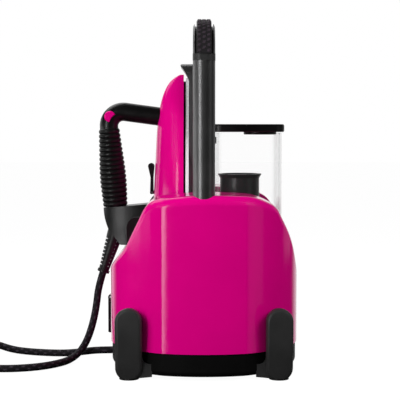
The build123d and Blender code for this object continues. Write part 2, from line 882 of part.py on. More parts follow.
def pipe(route):
    """A hose of the works, bent through the route's points."""
    with BuildPart() as tube:
        with BuildLine():
            line = FilletPolyline(*route, radius=pipe_bend_r)
        with BuildSketch(Plane(origin=line @ 0, z_dir=line % 0)):
            Circle(pipe_r)
        sweep()
    return tube


pump_front = pump_y - pump_ends / 2
pump_rear = pump_y + pump_ends / 2
tank_pipe = pipe(
    [
        (valve_x, 0, coupling_bottom),
        (valve_x, 0, 92),
        (valve_x, 58, 60),
        (pump_x, 62, pump_z),
        (pump_x, pump_rear, pump_z),
    ]
)
write_part(tank_pipe, "tank_pipe")
feed_pipe = pipe(
    [(pump_x, pump_front, pump_z), (pump_x, -96, pump_z), (boiler_x, -96, 41), (boiler_x, -boiler_half, 41)]
)
write_part(feed_pipe, "feed_pipe")
steam_pipe = pipe(
    [
        (boiler_x + boiler_r + 14, 40, 72),
        (boiler_x + boiler_r + 14, 40, 14),
        (boiler_x + boiler_r - 4, hose_gland_y, 14),
        (boiler_x - boiler_r, hose_gland_y, hose_gland_z + 0.6),
        (hose_gland_x + 10, hose_gland_y, hose_gland_z + 0.6),
    ]
)
write_part(steam_pipe, "steam_pipe")

with BuildPart() as tank_coupling:
    with Locations((valve_x, 0, well_floor + liner_gap)):
        Cylinder(coupling_r, well_floor - coupling_bottom, align=(Align.CENTER, Align.CENTER, Align.MAX))
        Cylinder(valve_r + 0.5, 9, align=(Align.CENTER, Align.CENTER, Align.MAX), mode=Mode.SUBTRACT)
write_part(tank_coupling, "tank_coupling")


# Iron: sole, shield and domed shell
def sole_outline(inset, tip, plane, thickness):
    """A plate in the pointed shape of the sole, its sides and heel moved inwards."""
    half = sole_half - inset
    heel = sole_heel + inset
    with BuildPart() as plate:
        with BuildSketch(plane):
            with BuildLine():
                corner = half - sole_corner
                shoulder = half * sole_shoulder[0]
                Polyline((-corner, heel), (corner, heel), (half, heel + sole_widest))
                ThreePointArc((half, heel + sole_widest), (shoulder, heel + sole_shoulder[1]), (0, tip))
                ThreePointArc((0, tip), (-shoulder, heel + sole_shoulder[1]), (-half, heel + sole_widest))
                Line((-half, heel + sole_widest), (-corner, heel))
            make_face()
        extrude(amount=thickness)
        fillet(plate.edges().filter_by(Axis.X), sole_corner)
    return plate


with BuildPart() as soleplate:
    add(sole_outline(0, sole_tip, Plane.YZ.offset(sole_face - sole_plate), sole_plate).part)
    add(rest_block(rest_gap), mode=Mode.SUBTRACT)
write_part(soleplate, "soleplate")
heat_shield = sole_outline(1.5, shield_tip, Plane.YZ.offset(shell_seat), shield_plate)
write_part(heat_shield, "heat_shield")


def crown_at(height):
    """Height of the shell over the shield, falling to nothing at the tip."""
    share = max(0.0, (height - shell_crown_turn) / (shell_tip - shell_crown_turn))
    return (shell_crown - shell_lean * (height - shell_bottom)) * (1 - share**4.2) ** 0.5


def half_at(height):
    """Half width of the shell, tucked in at the heel and pointed at the tip."""
    rise = max(0.0, (height - shell_widest) / (shell_tip - shell_widest))
    fall = max(0.0, (shell_widest - height) / (shell_widest - shell_bottom))
    return shell_half * (1 - rise**1.8) ** 0.8 - shell_tuck * fall**2


def dome(inset, steps):
    """Half-oval sections lofted up the iron, standing on the shield's plane."""
    with BuildPart() as form:
        for step in range(steps + 1):
            height = shell_bottom + step * shell_step
            with BuildSketch(Plane.XY.offset(height)):
                with BuildLine():
                    back = EllipticalCenterArc(
                        (shell_seat, 0), crown_at(height) - inset, half_at(height) - inset, 90, arc_size=180
                    )
                    Line(back @ 1, back @ 0)
                make_face()
        loft()
    return form.part


shell_form = dome(0, shell_steps)
shell_hollow = dome(shell_wall, shell_steps - 2)

with BuildPart() as iron_shell:
    add(shell_form)
    add(shell_hollow, mode=Mode.SUBTRACT)
    with BuildSketch(Plane.XZ):
        with Locations(trigger_pivot):
            Circle(trigger_lug_r)
        with Locations((trigger_pivot[0] + trigger_lug_reach / 2, trigger_pivot[1])):
            Rectangle(trigger_lug_reach, 2 * trigger_lug_r)
    extrude(amount=trigger_lug_half, both=True)
    with Locations(Plane(origin=(trigger_pivot[0], 0, trigger_pivot[1]), z_dir=(0, 1, 0))):
        Cylinder(trigger_pin_r, 40, mode=Mode.SUBTRACT)
write_part(iron_shell, "iron_shell")

with BuildPart() as trigger_pin:
    with Locations(Plane(origin=(trigger_pivot[0], 0, trigger_pivot[1]), z_dir=(0, 1, 0))):
        Cylinder(trigger_pin_r, 2 * trigger_half)
write_part(trigger_pin, "trigger_pin")

with BuildPart() as trigger:
    foot_x, foot_z = trigger_pivot
    ball_x = foot_x - trigger_ball_back
    ball_z = trigger_tip - trigger_ball_r
    with BuildSketch(Plane.XZ):
        with Locations(trigger_pivot):
            Circle(trigger_eye_r)
        with BuildLine():
            Polyline(
                (foot_x + trigger_foot_sides[0], foot_z),
                (foot_x + trigger_neck_sides[0], trigger_neck),
                (ball_x - trigger_ball_r, ball_z),
                (ball_x + trigger_ball_r, ball_z),
                (foot_x + trigger_neck_sides[1], trigger_neck),
                (foot_x + trigger_foot_sides[1], foot_z),
                close=True,
            )
        make_face()
        with Locations((ball_x, ball_z)):
            Circle(trigger_ball_r)
    extrude(amount=trigger_half, both=True)
    box_between(
        (foot_x - 2 * trigger_eye_r, -trigger_slot_half, foot_z - 2 * trigger_eye_r),
        (foot_x + 2 * trigger_eye_r, trigger_slot_half, foot_z + trigger_slot_top),
        Mode.SUBTRACT,
    )
    with Locations(Plane(origin=(foot_x, 0, foot_z), z_dir=(0, 1, 0))):
        Cylinder(trigger_pin_r + slide_gap, 40, mode=Mode.SUBTRACT)
write_part(trigger, "trigger")

with BuildPart() as sole_heater:
    with BuildLine(Plane.YZ.offset(shell_seat - rod_r)):
        bend = FilletPolyline((-26, 158), (-15, 268), (15, 268), (26, 158), radius=12)
    with BuildSketch(Plane(origin=bend @ 0, z_dir=bend % 0)):
        Circle(rod_r)
    sweep()
write_part(sole_heater, "sole_heater")


# Iron handle: a bent bar that ends in a core for the ribbed sleeve, with a button in each side
def button_form(side, root, face, grow):
    """A round block between two depths of one side, cut along the handle's inner bend."""
    place = Plane(
        origin=(button_place[0], side * root, button_place[1]), x_dir=(1, 0, 0), z_dir=(0, side, 0)
    )
    with BuildPart() as form:
        with BuildSketch(place):
            Circle(button_r + grow)
            with Locations((button_cut[0], -side * button_cut[1])):
                Circle(button_cut_r - grow, mode=Mode.SUBTRACT)
        extrude(amount=face - root)
    return form.part


with BuildPart() as iron_handle:
    with BuildLine(Plane.XZ):
        bar = FilletPolyline(bar_root, handle_corner, grip_top, radius=handle_bend_r)
    with BuildSketch(Plane(origin=bar @ 0, z_dir=bar % 0)):
        Circle(bar_r)
    sweep()
    with BuildSketch(axis_plane(grip_top, grip_bottom)):
        Circle(core_r)
    extrude(amount=distance(grip_top, grip_bottom) + core_below_grip)
    for side in (-1, 1):
        add(button_form(side, button_bore_floor, 2 * bar_r, slide_gap), mode=Mode.SUBTRACT)
    add(shell_form, mode=Mode.SUBTRACT)
write_part(iron_handle, "iron_handle")


def steam_button(side):
    """Button in one side of the handle's corner."""
    with BuildPart() as button:
        add(button_form(side, button_root, button_face, 0))
        top = button.faces().sort_by(Axis.Y)[0 if side < 0 else -1]
        fillet(top.edges(), button_edge_r)
    return button


write_part(steam_button(-1), "steam_button_front")
write_part(steam_button(1), "steam_button_rear")


def radius_at(share, table):
    """Radius at one share of a length, read between the table's places."""
    for (a, low), (b, high) in zip(table, table[1:]):
        if share <= b:
            return low + (high - low) * (share - a) / (b - a)
    return table[-1][1]


with BuildPart() as grip_sleeve:
    grip_plane = axis_plane(grip_top, grip_bottom)
    grip_length = distance(grip_top, grip_bottom)
    pitch = grip_length / grip_ribs
    section = Plane(origin=grip_plane.origin, x_dir=grip_plane.x_dir, z_dir=-grip_plane.y_dir)
    with BuildSketch(section):
        with BuildLine():
            for rib in range(grip_ribs):
                places = [(rib + share) / grip_ribs for share in (0, 0.5, 1)]
                start, crest, end = [radius_at(place, grip_radii) for place in places]
                ThreePointArc(
                    (start - rib_height, rib * pitch),
                    (crest, (rib + 0.5) * pitch),
                    (end - rib_height, (rib + 1) * pitch),
                )
            Polyline(
                (end - rib_height, grip_length),
                (core_r, grip_length),
                (core_r, 0),
                (grip_radii[0][1] - rib_height, 0),
            )
        make_face()
    revolve(axis=Axis(grip_plane.origin, grip_plane.z_dir))
write_part(grip_sleeve, "grip_sleeve")

with BuildPart() as strain_relief:
    relief_plane = axis_plane(relief_root, relief_end)
    relief_length = distance(relief_root, relief_end)
    taper = [(0.0, relief_root_r), (1.0, relief_end_r)]
    section = Plane(origin=relief_plane.origin, x_dir=relief_plane.x_dir, z_dir=-relief_plane.y_dir)
    with BuildSketch(section):
        with BuildLine():
            Polyline(
                (0, 0),
                (relief_root_r, 0),
                (relief_end_r, relief_length - relief_flange),
                (relief_flange_r, relief_length - relief_flange),
                (relief_flange_r, relief_length),
                (0, relief_length),
                close=True,
            )
        make_face()
    revolve(axis=Axis(relief_plane.origin, relief_plane.z_dir))
    for slot in range(relief_slots):
        along = relief_slot_start + slot * relief_slot_pitch
        radius = radius_at(along / relief_length, taper)
        with BuildSketch(relief_plane.offset(along)):
            with Locations((0, -radius * (relief_slot_edge + 1))):
                Rectangle(4 * radius, 2 * radius)
            Circle(radius - relief_slot_depth, mode=Mode.SUBTRACT)
        extrude(amount=relief_slot, mode=Mode.SUBTRACT)
        middle = relief_plane.from_local_coords((0, radius * relief_hole_place, along + relief_slot / 2))
        with Locations(Plane(origin=middle, z_dir=(0, 1, 0))):
            Cylinder(relief_hole_r, 4 * radius, mode=Mode.SUBTRACT)
write_part(strain_relief, "strain_relief")

with BuildPart() as heel_cover:
    with BuildSketch(Plane.XZ):
        with BuildLine():
            Polyline(*heel_outline)
            ThreePointArc(heel_outline[-1], heel_back, heel_outline[0])
        make_face()
    extrude(amount=heel_half, both=True)
    with BuildSketch(Plane.XY.offset(heel_bottom)):
        with Locations((heel_round_x, 0)):
            Ellipse(heel_round_reach, heel_half)
            Rectangle(heel_round_reach, 2 * heel_half, align=(Align.MIN, Align.CENTER))
    extrude(amount=sky, mode=Mode.INTERSECT)
    with BuildSketch(Plane.XY.offset(heel_bottom)):
        with BuildLine():
            back = EllipticalCenterArc(
                (shell_seat, 0), crown_at(shell_bottom), half_at(shell_bottom), 90, arc_size=180
            )
            Line(back @ 1, back @ 0)
        make_face()
    extrude(amount=shell_bottom - heel_bottom)
    add(shell_form, mode=Mode.SUBTRACT)
    add(iron_handle.part, mode=Mode.SUBTRACT)
    add(grip_sleeve.part, mode=Mode.SUBTRACT)
    add(strain_relief.part, mode=Mode.SUBTRACT)
write_part(heel_cover, "heel_cover")


# Water tank with its bracket, hinged lid, filler plug, filter cartridge and foot valve
tank_x = (tank_left + tank_right) / 2
tank_width = tank_right - tank_left

with BuildPart() as water_tank:
    with BuildSketch(Plane.XY.offset(tank_bottom)):
        with Locations((tank_x, 0)):
            RectangleRounded(tank_width, 2 * tank_half, tank_corner_r)
    extrude(amount=tank_top - tank_bottom)
    fillet(water_tank.faces().sort_by(Axis.Z)[0].edges(), tank_edge_r)
    with BuildSketch(Plane.XY.offset(tank_bottom + tank_wall)):
        with Locations((tank_x, 0)):
            RectangleRounded(
                tank_width - 2 * tank_wall, 2 * (tank_half - tank_wall), tank_corner_r - tank_wall
            )
    extrude(amount=tank_top, mode=Mode.SUBTRACT)
    with Locations((valve_x, 0, tank_bottom)):
        Cylinder(valve_r, 20, mode=Mode.SUBTRACT)
write_part(water_tank, "water_tank")

with BuildPart() as tank_valve:
    with Locations((valve_x, 0, tank_bottom + tank_wall)):
        Cylinder(valve_r, valve_stem, align=(Align.CENTER, Align.CENTER, Align.MAX))
        Cylinder(valve_r + valve_rim, valve_rim, align=(Align.CENTER, Align.CENTER, Align.MIN))
write_part(tank_valve, "tank_valve")

with BuildPart() as hinge_bracket:
    for side in (-1, 1):
        with BuildSketch(Plane.XZ.offset(-side * lug_place)):
            with Locations((hinge_x, hinge_z)):
                Circle(lug_reach)
            with Locations((hinge_x, hinge_z - lug_drop / 2)):
                Rectangle(2 * lug_reach, lug_drop)
            with Locations(((hinge_x - lug_reach + tank_left) / 2, hinge_z - bracket_below)):
                Rectangle(tank_left - hinge_x + lug_reach, bracket_height)
        extrude(amount=lug_width / 2, both=True)
    with BuildSketch(Plane.XZ):
        with Locations((tank_left - bracket_plate / 2, hinge_z - bracket_below)):
            Rectangle(bracket_plate, bracket_height)
    extrude(amount=lug_place, both=True)
    with Locations(Plane(origin=(hinge_x, 0, hinge_z), z_dir=(0, 1, 0))):
        Cylinder(hinge_pin_r, 3 * lug_place, mode=Mode.SUBTRACT)
write_part(hinge_bracket, "hinge_bracket")

with BuildPart() as lid_pin:
    with Locations(Plane(origin=(hinge_x, 0, hinge_z), z_dir=(0, 1, 0))):
        Cylinder(hinge_pin_r, 2 * hinge_pin_half)
write_part(lid_pin, "lid_pin")

with BuildPart() as tank_lid:
    with BuildSketch(Plane.XY.offset(lid_bottom)):
        with Locations(((lid_left + lid_right) / 2, 0)):
            RectangleRounded(lid_right - lid_left, 2 * lid_half, tank_corner_r)
    extrude(amount=lid_top - lid_bottom)
    fillet(tank_lid.faces().sort_by(Axis.Z)[-1].edges(), lid_edge_r)
    fillet(tank_lid.faces().sort_by(Axis.Z)[0].edges(), lid_rim_r)
    for side in (-1, 1):
        slot_half = lug_width / 2 + 0.6
        box_between(
            (lid_left - 1, side * lug_place - slot_half, lid_bottom - 1),
            (hinge_x + lug_reach + 2.2, side * lug_place + slot_half, lid_top + 1),
            Mode.SUBTRACT,
        )
    with Locations(Plane(origin=(hinge_x, 0, hinge_z), z_dir=(0, 1, 0))):
        Cylinder(hinge_pin_r + slide_gap, 2 * hinge_pin_half + 0.4, mode=Mode.SUBTRACT)
write_part(tank_lid, "tank_lid")

with BuildPart() as filler_plug:
    with Locations((plug_x, 0, lid_bottom)):
        Cylinder(plug_r, plug_depth, align=(Align.CENTER, Align.CENTER, Align.MAX))
    fillet(filler_plug.faces().sort_by(Axis.Z)[0].edges(), 1)
write_part(filler_plug, "filler_plug")

filter_flange = 1.2
filter_flare = 4.0
filter_cup = 12.0
with BuildPart() as filter_cartridge:
    with Locations((filter_x, 0, filter_bottom)):
        Cylinder(filter_r, filter_top - filter_bottom, align=(Align.CENTER, Align.CENTER, Align.MIN))
    with Locations((filter_x, 0, filter_top - filter_flange)):
        Cone(filter_r, filter_flange_r, filter_flare, align=(Align.CENTER, Align.CENTER, Align.MAX))
    with Locations((filter_x, 0, filter_top)):
        Cylinder(filter_flange_r, filter_flange, align=(Align.CENTER, Align.CENTER, Align.MAX))
        Cylinder(filter_r - 2, filter_cup, align=(Align.CENTER, Align.CENTER, Align.MAX), mode=Mode.SUBTRACT)
write_part(filter_cartridge, "filter_cartridge")


# Steam hose: a free run from the iron, a tied coil on the floor, a free run back to the base
relief_axis = (axis_plane(relief_root, relief_end)).z_dir
relief_tip = Vector(relief_end[0], 0, relief_end[1])
coil_start = (coil_x + hose_d, coil_y - coil_r, coil_z)
coil_finish = (coil_x + hose_d, coil_y + coil_r, coil_z + coil_layer)
floor_z = hose_r
iron_route = [
    tuple(relief_tip),
    tuple(relief_tip + relief_axis * 19),
    (-119.8, -2.5, 63.5),
    (-123.9, -7.5, 42.5),
    (-130.0, -15.0, 23.5),
    (-138.5, -25.5, 10.5),
    (-149.0, -40.0, floor_z + 0.4),
    (-160.0, -57.5, floor_z),
    (-174.5, -73.0, floor_z),
    (-194.0, -83.5, floor_z),
    (-218.0, -88.0, floor_z),
    (-244.0, -83.5, floor_z + 0.2),
    (-270.0, coil_start[1], coil_z),
    coil_start,
]
base_route = [
    coil_finish,
    (-271.0, coil_finish[1], coil_finish[2]),
    (-248.0, 33.5, coil_finish[2] - 3.6),
    (-226.0, 25.5, floor_z + 0.8),
    (-204.0, 16.0, floor_z),
    (-182.0, 9.0, floor_z),
    (-160.0, 4.5, floor_z + 0.3),
    (-139.5, -2.5, floor_z + 3.1),
    (-119.0, hose_gland_y, hose_gland_z),
    (hose_gland_x - hose_gland_proud, hose_gland_y, hose_gland_z),
]


def hose_run(name, route):
    """One free run of the hose, each bend as wide as its two runs allow."""
    points = [Vector(*p) for p in route]
    radii = []
    for before, corner, after in zip(points, points[1:], points[2:]):
        turn = radians((corner - before).get_angle(after - corner))
        shorter = min((corner - before).length, (after - corner).length)
        radii.append(0.45 * shorter / tan(turn / 2))
    with BuildPart() as run:
        with BuildLine():
            line = FilletPolyline(*points, radius=radii)
        with BuildSketch(Plane(origin=line @ 0, z_dir=line % 0)):
            Circle(hose_r)
        sweep()
    length = line.length
    share = run.part.volume / (pi * hose_r**2 * length)
    print(name, "bends", [round(r) for r in radii], "length", round(length), "volume share", round(share, 4))
    write_part(run, name)
    return length


def coil_place(quarter):
    """Point and direction of the coil after some quarter turns, seen from above turning clockwise."""
    turns = quarter / 4
    middle = coil_turns + 0.25
    inward = min(turns, middle)
    radius = coil_r - coil_pitch * inward + coil_pitch * max(0, turns - middle)
    climb = min(1, max(0, 2 * (turns - coil_turns)))
    height = coil_z + coil_layer * climb**2 * (3 - 2 * climb)
    slope = coil_layer * 12 * climb * (1 - climb)
    angle = -pi / 2 - 2 * pi * turns
    drift = -coil_pitch if turns < middle else coil_pitch
    if quarter in (0, 4 * middle, 8 * coil_turns + 2):
        drift = 0
    place = Vector(coil_x + radius * cos(angle), coil_y + radius * sin(angle), height)
    around = Vector(sin(angle), -cos(angle), 0) * 2 * pi * radius
    outwards = Vector(cos(angle), sin(angle), 0) * drift
    return place, (around + outwards + Vector(0, 0, slope)).normalized()


def biarc_joint(place, direction, next_place, next_direction):
    """Where two arcs meet that join two places along their directions."""
    chord = next_place - place
    both = direction + next_direction
    a = both.dot(both) - 4
    b = -2 * chord.dot(both)
    c = chord.dot(chord)
    reach = (-b - sqrt(b * b - 4 * a * c)) / (2 * a)
    if reach < 0:
        reach = (-b + sqrt(b * b - 4 * a * c)) / (2 * a)
    return (place + direction * reach + next_place - next_direction * reach) / 2


with BuildPart() as hose_coil:
    quarters = 8 * coil_turns + 2
    with BuildLine() as coil_line:
        Line(coil_start, coil_place(0)[0])
        for quarter in range(quarters):
            place, direction = coil_place(quarter)
            next_place, next_direction = coil_place(quarter + 1)
            joint = biarc_joint(place, direction, next_place, next_direction)
            first = TangentArc(place, joint, tangent=direction)
            TangentArc(joint, next_place, tangent=first % 1)
        Line(coil_place(quarters)[0], coil_finish)
    with BuildSketch(Plane(origin=coil_start, z_dir=(-1, 0, 0))):
        Circle(hose_r)
    sweep()
coil_wire = coil_line.wires()[0]
coil_length = coil_wire.length
samples = [coil_wire @ (k / 1200) for k in range(1201)]
skip = int(2.5 * hose_d / coil_length * 1200)
gap = min((a - b).length for k, a in enumerate(samples) for b in samples[k + skip :]) - hose_d
print("hose_coil length", round(coil_length), "least gap to itself", round(gap, 2))
print("hose_coil volume share", round(hose_coil.part.volume / (pi * hose_r**2 * coil_length), 4))
write_part(hose_coil, "hose_coil")

iron_run_length = hose_run("steam_hose_iron_run", iron_route)
base_run_length = hose_run("steam_hose_base_run", base_route)
print("whole hose", round(iron_run_length + coil_length + base_run_length))

with BuildPart() as hose_tie:
    low_x = coil_x + coil_r - coil_pitch * (coil_turns - 0.25) - hose_r - 2 * tie_gap
    high_x = coil_x + coil_r - coil_pitch * 0.75 + hose_r + tie_gap
    low_z = tie_wall
    high_z = coil_z + coil_layer + hose_r + tie_gap
    with BuildSketch(Plane.XZ.offset(-coil_y)):
        with Locations(((low_x + high_x) / 2, (low_z + high_z) / 2)):
            RectangleRounded(high_x - low_x + 2 * tie_wall, high_z - low_z + 2 * tie_wall, tie_corner_r)
            RectangleRounded(
                high_x - low_x, high_z - low_z, tie_corner_r - tie_wall, mode=Mode.SUBTRACT
            )
    extrude(amount=tie_width / 2, both=True)
write_part(hose_tie, "hose_tie")
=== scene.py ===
"""An ironing station: its finishes, steam hose, grip texture and studio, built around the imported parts.

Metres, in the parts' own frame: X from the iron's side to the tank's, Y from front to rear, Z up.
"""

import json
import math

import bmesh
import bpy
from mathutils import Matrix, Vector


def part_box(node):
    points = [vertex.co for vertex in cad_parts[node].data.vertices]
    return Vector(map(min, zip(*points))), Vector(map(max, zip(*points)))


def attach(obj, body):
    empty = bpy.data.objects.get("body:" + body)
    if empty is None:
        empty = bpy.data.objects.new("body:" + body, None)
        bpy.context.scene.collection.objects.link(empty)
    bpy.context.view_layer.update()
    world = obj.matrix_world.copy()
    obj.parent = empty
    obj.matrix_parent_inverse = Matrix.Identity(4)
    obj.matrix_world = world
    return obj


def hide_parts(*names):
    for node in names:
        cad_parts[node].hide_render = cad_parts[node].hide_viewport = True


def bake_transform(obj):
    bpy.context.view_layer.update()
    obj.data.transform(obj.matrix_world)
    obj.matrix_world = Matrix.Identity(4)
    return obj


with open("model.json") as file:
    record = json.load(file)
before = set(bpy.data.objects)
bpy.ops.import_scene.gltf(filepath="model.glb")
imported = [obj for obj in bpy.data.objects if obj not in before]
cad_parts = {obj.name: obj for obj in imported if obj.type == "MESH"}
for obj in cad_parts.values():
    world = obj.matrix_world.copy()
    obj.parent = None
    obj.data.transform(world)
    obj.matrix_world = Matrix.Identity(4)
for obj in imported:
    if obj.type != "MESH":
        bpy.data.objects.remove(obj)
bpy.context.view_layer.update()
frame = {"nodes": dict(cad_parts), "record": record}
scene = bpy.context.scene
scene.view_settings.view_transform = "Standard"

# Camera, as it stood for the photograph: level with the tank's lid and turned a little down
CAMERA_PLACE = Vector((0.0046, -1.43, 0.2781))
CAMERA_TILT = math.radians(3.5)
CAMERA_LENS = 107.65
SENSOR = 36.0

# Steam hose: down from the iron's strain relief and out, then back along the floor to the gland in the base
HOSE_DIAMETER = 0.0086
HOSE_FROM_IRON = [
    (-0.1118, 0.0, 0.1042),
    (-0.1176, 0.0, 0.0861),
    (-0.1198, -0.0025, 0.0635),
    (-0.1239, -0.0075, 0.0425),
    (-0.13, -0.015, 0.0235),
    (-0.1385, -0.0255, 0.0105),
    (-0.149, -0.04, 0.0047),
    (-0.16, -0.0575, 0.0043),
    (-0.1745, -0.073, 0.0043),
    (-0.194, -0.0835, 0.0043),
    (-0.218, -0.088, 0.0043),
    (-0.244, -0.0835, 0.0045),
    (-0.27, -0.077, 0.0053),
    (-0.2934, -0.077, 0.0053),
]
HOSE_TO_BASE = [
    (-0.2934, 0.037, 0.0144),
    (-0.271, 0.037, 0.0144),
    (-0.248, 0.0335, 0.0108),
    (-0.226, 0.0255, 0.0051),
    (-0.204, 0.016, 0.0043),
    (-0.182, 0.009, 0.0043),
    (-0.16, 0.0045, 0.0046),
    (-0.1395, -0.0025, 0.0074),
    (-0.119, -0.008, 0.011),
    (-0.1, -0.008, 0.011),
]
HOSE_STEPS = 10
HOSE_ROUNDNESS = 4

# Coil of the hose's put-away length, in turns, with the stretch of turns in which it climbs a layer
COIL_CENTRE = (-0.302, -0.02)
COIL_RADIUS = 0.057
COIL_PITCH = 0.0092
COIL_TURNS = 4.5
COIL_POINTS_PER_TURN = 20
COIL_LOW = 0.0053
COIL_RISE = 0.0091
COIL_CLIMB_FROM = 2.0
COIL_CLIMB_TURNS = 0.5

# Braid on the hose: strands along its length and round it
BRAID_ALONG = 420
BRAID_AROUND = 8
BRAID_DEPTH = 0.0004
BRAID_STRENGTH = 0.6
BRAID_EDGES = (0.3, 0.85)

# Strap round the hose's coil
STRAP_CORNER = 0.003
STRAP_CORNER_STEPS = 5
STRAP_WALL = 0.0008

# Lozenge pads on the carrying handle's inlay, which follows the handle's bow round its two corners
BOW_CORNER = 0.041
PAD_PITCH = 0.0062
PAD_COLUMN = 0.0051
PAD_WIDTH = 0.0031
PAD_LENGTH = 0.0034
PAD_HEIGHT = 0.0011
PAD_SLANT = 0.35
PAD_SINK = 0.0001
PAD_EDGE = 0.0004
PAD_EDGE_STEPS = 2

# How the parts' triangles are joined, and the angle in radians past which an edge stays a corner
JOIN_REACH = 0.00001
CORNER_ANGLE = 0.55

# Floor and world: what the lens sees, what lights matt surfaces, and what gloss mirrors by direction
FLOOR_HALF = 8.0
FLOOR_GREY = (0.08, 0.08, 0.08)
FLOOR_WHITE = (0.85, 0.85, 0.85)
FLOOR_GLOW = 1.07
FLOOR_GLOW_SHARE = 0.9
WORLD_FILL = 0.3
WORLD_WHITE = 1.0
ROOM_DARK = 0.01
BACKDROP_WHITE = 1.0
BACKDROP_EDGES = (0.72, 0.88)

# Colours as light reflected, red green blue
PINK = (0.66, 0.0, 0.2)
ANTHRACITE = (0.2, 0.2, 0.202)
BLACK = (0.003, 0.003, 0.003)
BUMPER_BLACK = (0.02, 0.02, 0.02)
RUBBER_BLACK = (0.003, 0.003, 0.003)
INLAY_BLACK = (0.012, 0.011, 0.012)
PAD_PLUM = (0.03, 0.022, 0.029)
FILTER_GREY = (0.012, 0.012, 0.012)
HOSE_BLACK = (0.007, 0.006, 0.008)
HOSE_PLUM = (0.045, 0.036, 0.048)
SOLE_SILVER = (0.9, 0.91, 0.94)
STEEL_GREY = (0.45, 0.45, 0.47)
BRASS_YELLOW = (0.58, 0.38, 0.11)
BOARD_GREEN = (0.01, 0.11, 0.03)
CLEAR_TINT = (0.45, 0.46, 0.47)

# Clear plastic: its plain density, its density face on and edge on, and how late it turns dense
CLEAR_ALPHA = 0.03
CLEAR_DENSITY = (0.008, 0.4)
CLEAR_BEND = 2.2

# Noise: lumps alike all ways or drawn out along Z, and the part of its range that gloss and colour follow
ALIKE = (1.0, 1.0, 1.0)
ALONG_Z = (1.0, 1.0, 0.02)
NOISE_DETAIL = 2.0
GLOSS_EDGES = (0.3, 0.7)
TONE_EDGES = (0.35, 0.65)
WHOLE = (0.0, 1.0)

# Parts whose finish is duller or darker than the rest of their slot
OWN_FINISH = {
    "base_pan": "pan_black",
    "post_collar_front": "bumper_black",
    "post_collar_rear": "bumper_black",
}


def feed(tree, source, socket):
    """A socket takes a number or another node's output."""
    if isinstance(source, bpy.types.NodeSocket):
        tree.links.new(source, socket)
    else:
        socket.default_value = source


def reckon(tree, operation, first, second):
    """Two values, added, compared or otherwise put together."""
    made = tree.nodes.new("ShaderNodeMath")
    made.operation = operation
    feed(tree, first, made.inputs[0])
    feed(tree, second, made.inputs[1])
    return made.outputs["Value"]


def carry_over(tree, value, before, after):
    """A value carried from one range to another; an end of a range is a number or an output."""
    made = tree.nodes.new("ShaderNodeMapRange")
    sockets = ("Value", "From Min", "From Max", "To Min", "To Max")
    for socket, source in zip(sockets, (value, *before, *after)):
        feed(tree, source, made.inputs[socket])
    return made.outputs["Result"]


def colour_ramp(tree, value, edges, colours):
    """One colour up to the first edge, another past the second, and a blend between."""
    made = tree.nodes.new("ShaderNodeValToRGB")
    for stop, edge, colour in zip(made.color_ramp.elements, edges, colours):
        stop.position = edge
        stop.color = (*colour, 1.0)
    feed(tree, value, made.inputs["Fac"])
    return made.outputs["Color"]


def raised(tree, height, depth, strength):
    """The slope of a skin that stands so high, in metres."""
    made = tree.nodes.new("ShaderNodeBump")
    made.inputs["Strength"].default_value = strength
    made.inputs["Distance"].default_value = depth
    feed(tree, height, made.inputs["Height"])
    return made.outputs["Normal"]


def mapped(tree, coordinate, scale):
    """Places on the piece, by its own frame or its own length and turn, scaled."""
    place = tree.nodes.new("ShaderNodeTexCoord")
    made = tree.nodes.new("ShaderNodeMapping")
    made.inputs["Scale"].default_value = scale
    feed(tree, place.outputs[coordinate], made.inputs["Vector"])
    return made.outputs["Vector"]


def cloud(tree, scale, stretch):
    """Soft noise fixed to the piece, with so many lumps to the metre."""
    made = tree.nodes.new("ShaderNodeTexNoise")
    made.inputs["Scale"].default_value = scale
    made.inputs["Detail"].default_value = NOISE_DETAIL
    feed(tree, mapped(tree, "Object", stretch), made.inputs["Vector"])
    return made.outputs["Fac"]


def finish_of(name, colour, roughness, **sockets):
    """A new material whose shader has one colour and roughness, and any other socket by its name."""
    made = bpy.data.materials.new(name)
    made.use_nodes = True
    shader = shader_of(made)
    shader.inputs["Base Color"].default_value = (*colour, 1.0)
    shader.inputs["Roughness"].default_value = roughness
    for socket, value in sockets.items():
        shader.inputs[socket.replace("_", " ")].default_value = value
    return made


def shader_of(made):
    """A material's one shader."""
    return made.node_tree.nodes["Principled BSDF"]


def uneven_gloss(made, scale, gloss, stretch=ALIKE):
    """The roughness wanders between two values."""
    tree = made.node_tree
    noise = cloud(tree, scale, stretch)
    feed(tree, carry_over(tree, noise, GLOSS_EDGES, gloss), shader_of(made).inputs["Roughness"])


def grain(made, scale, depth, strength=0.4, stretch=ALIKE):
    """A moulded or brushed skin: fine lumps so deep, in metres."""
    tree = made.node_tree
    noise = cloud(tree, scale, stretch)
    feed(tree, raised(tree, noise, depth, strength), shader_of(made).inputs["Normal"])


def two_tone(made, scale, first, second, stretch=ALIKE):
    """The colour drifts between two near tones."""
    tree = made.node_tree
    noise = cloud(tree, scale, stretch)
    feed(tree, colour_ramp(tree, noise, TONE_EDGES, (first, second)), shader_of(made).inputs["Base Color"])


def shade(colour, share):
    """A colour made darker, or lighter where the share is over one."""
    return tuple(share * part for part in colour)


def pink_gloss():
    """The casing's and the shell's glossy paint."""
    made = finish_of("pink_gloss", PINK, 0.1, Specular_IOR_Level=0.28)
    uneven_gloss(made, 40.0, (0.1, 0.16))
    two_tone(made, 25.0, PINK, shade(PINK, 0.96))
    grain(made, 180.0, 0.00003, strength=0.15)
    return made


def moulded(name, colour, gloss, lumps, depth, **sockets):
    """A moulded plastic or rubber: two near tones, a wandering gloss and a fine skin."""
    made = finish_of(name, colour, gloss[0], **sockets)
    uneven_gloss(made, 60.0, gloss)
    two_tone(made, 30.0, colour, shade(colour, 1.25))
    grain(made, lumps, depth)
    return made


